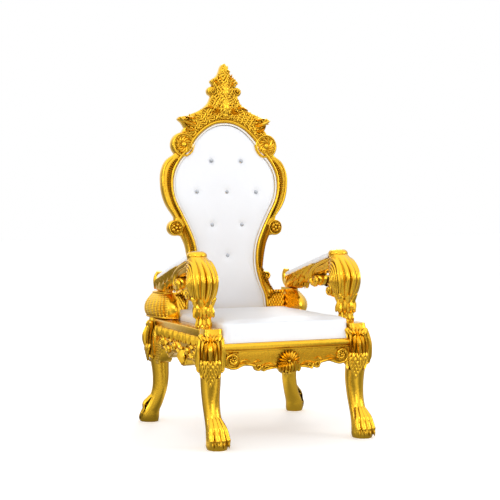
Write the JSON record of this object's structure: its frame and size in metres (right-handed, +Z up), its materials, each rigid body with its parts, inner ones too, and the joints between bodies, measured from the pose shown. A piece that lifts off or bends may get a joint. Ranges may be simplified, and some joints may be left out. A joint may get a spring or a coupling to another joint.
{
  "type": "ornate throne chair",
  "caption": "Carved and gilded throne with a tall violin-shaped tufted back, scrolled padded arms, a cushioned seat and paw feet",
  "frame": {"origin": "on the floor, under the middle of the throne's box", "axes": "+Z up, the sitter faces -Y; left and right in the names are the viewer's, from the front, so left is -X; the throne mirrors across the plane x = 0"},
  "size_m": [0.8432, 0.8456, 1.6534],
  "materials": {
    "gilded_frame": "glossy gold leaf over carved wood",
    "white_leather": "smooth satin white",
    "piping": "satin cream",
    "rear_cover": "smooth satin white",
    "seat_board": "plain plywood",
    "crystal": "faceted silver-backed crystal"
  },
  "bodies": {
    "root": {"back_frame": "gilded_frame", "front_rail": "gilded_frame", "back_rail": "gilded_frame", "side_rail_left": "gilded_frame", "side_rail_right": "gilded_frame", "front_leg_left": "gilded_frame", "front_leg_right": "gilded_frame", "back_leg_left": "gilded_frame", "back_leg_right": "gilded_frame", "arm_left": "gilded_frame", "arm_right": "gilded_frame", "arm_bracket_left": "gilded_frame", "arm_bracket_right": "gilded_frame", "back_panel": "white_leather", "seat_cushion": "white_leather", "arm_pad_left": "white_leather", "arm_pad_right": "white_leather", "back_rear_cover": "rear_cover", "back_piping": "piping", "seat_board": "seat_board", "crystal_button_1": "crystal", "crystal_button_2": "crystal", "crystal_button_3": "crystal", "crystal_button_4": "crystal", "crystal_button_5": "crystal", "crystal_button_6": "crystal", "crystal_button_7": "crystal", "crystal_button_8": "crystal"}
  },
  "joints": []
}
